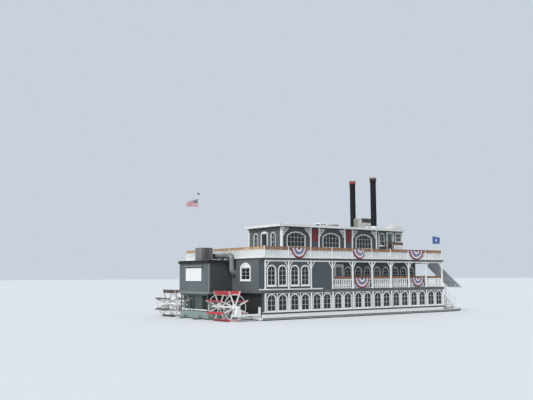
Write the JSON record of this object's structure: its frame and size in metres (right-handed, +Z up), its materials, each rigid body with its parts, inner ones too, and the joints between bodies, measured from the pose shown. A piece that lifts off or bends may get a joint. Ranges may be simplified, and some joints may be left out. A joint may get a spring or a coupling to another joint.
{
  "type": "three-deck excursion paddle boat with twin stern wheels",
  "caption": "Three-deck paddle boat with side-by-side stern wheels, arcaded promenade, top deckhouse, tall twin stacks and a flat barge hull.",
  "frame": {"origin": "on the hull's flat bottom, on the centreline, halfway between the stern and the bow of the hull", "axes": "+X towards the bow, +Y to port, +Z up"},
  "size_m": [32.1268, 13.66, 15.0103],
  "materials": {
    "white_paint": "semi-gloss, weathered",
    "grey_paint": "satin blue-grey",
    "deck_paint": "matt non-slip",
    "roof_paint": "satin, streaked",
    "red_paint": "gloss",
    "black_paint": "satin",
    "galvanised_steel": "dull zinc",
    "dark_metal": "matt",
    "canvas": "woven canvas",
    "flag_cloth": "woven",
    "varnished_wood": "varnished, faded",
    "window_glass": "clear, dark inside"
  },
  "bodies": {
    "boat": {"hull": "white_paint", "main_deck_wall_starboard": "white_paint", "main_deck_wall_port": "white_paint", "main_deck_wall_bow": "white_paint", "outrigger_starboard": "white_paint", "outrigger_port": "white_paint", "promenade_arcade_starboard": "white_paint", "promenade_arcade_port": "white_paint", "promenade_arcade_bow": "white_paint", "promenade_railing_starboard": "white_paint", "promenade_railing_port": "white_paint", "promenade_railing_bow": "white_paint", "upper_railing_starboard": "white_paint", "upper_railing_port": "white_paint", "upper_railing_stern": "white_paint", "upper_railing_bow": "white_paint", "ensign_staff": "white_paint", "jack_staff": "white_paint", "bow_stairs": "white_paint", "main_deck_wall_stern": "grey_paint", "saloon_aft_wall_starboard": "grey_paint", "saloon_aft_wall_port": "grey_paint", "saloon_wall_starboard": "grey_paint", "saloon_wall_port": "grey_paint", "saloon_stern_wall": "grey_paint", "saloon_bow_wall": "grey_paint", "house_wall_starboard": "grey_paint", "house_wall_port": "grey_paint", "house_stern_wall": "grey_paint", "house_bow_wall": "grey_paint", "annex_wall_starboard": "grey_paint", "annex_wall_port": "grey_paint", "annex_wall_stern": "grey_paint", "second_deck": "deck_paint", "annex_floor": "deck_paint", "third_deck": "roof_paint", "house_roof": "roof_paint", "cab_roof_starboard": "roof_paint", "cab_roof_port": "roof_paint", "smokestack_starboard": "black_paint", "smokestack_port": "black_paint", "annex_roof": "black_paint", "roof_air_unit": "galvanised_steel", "annex_air_unit": "galvanised_steel", "annex_support": "galvanised_steel", "drive_engine": "dark_metal", "bow_canopies": "canvas", "ensign_flag": "flag_cloth", "jack_flag": "flag_cloth"},
    "starboard_wheel": {"paddle_wheel_starboard": "red_paint"},
    "port_wheel": {"paddle_wheel_port": "red_paint"},
    "starboard_rudder": {"rudder_starboard": "dark_metal"},
    "port_rudder": {"rudder_port": "dark_metal"},
    "starboard_promenade_door": {"promenade_door_starboard": "white_paint"},
    "port_promenade_door": {"promenade_door_port": "white_paint"},
    "starboard_cab_door": {"cab_door_starboard": "white_paint"},
    "port_cab_door": {"cab_door_port": "white_paint"},
    "stern_house_door": {"house_stern_door": "white_paint"},
    "starboard_foredeck_door": {"foredeck_door_starboard": "grey_paint"},
    "port_foredeck_door": {"foredeck_door_port": "grey_paint"}
  },
  "joints": [
    {"name": "starboard_wheel_spin", "type": "hinge", "parent": "boat", "child": "starboard_wheel", "pos_m": [-15.11, -4.71, 1.95], "axis": [0, 1, 0], "continuous": true},
    {"name": "port_wheel_spin", "type": "hinge", "parent": "boat", "child": "port_wheel", "pos_m": [-15.11, 4.71, 1.95], "axis": [0, 1, 0], "continuous": true},
    {"name": "starboard_rudder_turn", "type": "hinge", "parent": "boat", "child": "starboard_rudder", "pos_m": [-15.77, -1.3, 0.6], "axis": [0, 0, 1], "range_deg": [-35, 35]},
    {"name": "port_rudder_turn", "type": "hinge", "parent": "boat", "child": "port_rudder", "pos_m": [-15.77, 1.3, 0.6], "axis": [0, 0, 1], "range_deg": [-35, 35]},
    {"name": "starboard_promenade_door_swing", "type": "hinge", "parent": "boat", "child": "starboard_promenade_door", "pos_m": [-3.635, -5.472, 4.4], "axis": [0, 0, -1], "range_deg": [0, 95]},
    {"name": "port_promenade_door_swing", "type": "hinge", "parent": "boat", "child": "port_promenade_door", "pos_m": [-3.635, 5.472, 4.4], "axis": [0, 0, 1], "range_deg": [0, 95]},
    {"name": "starboard_cab_door_swing", "type": "hinge", "parent": "boat", "child": "starboard_cab_door", "pos_m": [6.155, -2.568, 8], "axis": [0, 0, 1], "range_deg": [0, 95]},
    {"name": "port_cab_door_swing", "type": "hinge", "parent": "boat", "child": "port_cab_door", "pos_m": [6.155, 2.568, 8], "axis": [0, 0, -1], "range_deg": [0, 95]},
    {"name": "stern_house_door_swing", "type": "hinge", "parent": "boat", "child": "stern_house_door", "pos_m": [-7.842, -0.43, 7.3], "axis": [0, 0, 1], "range_deg": [0, 100]},
    {"name": "starboard_foredeck_door_swing", "type": "hinge", "parent": "boat", "child": "starboard_foredeck_door", "pos_m": [9.972, -0.85, 2], "axis": [0, 0, -1], "range_deg": [0, 95]},
    {"name": "port_foredeck_door_swing", "type": "hinge", "parent": "boat", "child": "port_foredeck_door", "pos_m": [9.972, 0.85, 2], "axis": [0, 0, 1], "range_deg": [0, 95]}
  ],
  "couplings": [
    {"joint": "port_rudder_turn", "follows": "starboard_rudder_turn", "ratio": 1}
  ]
}
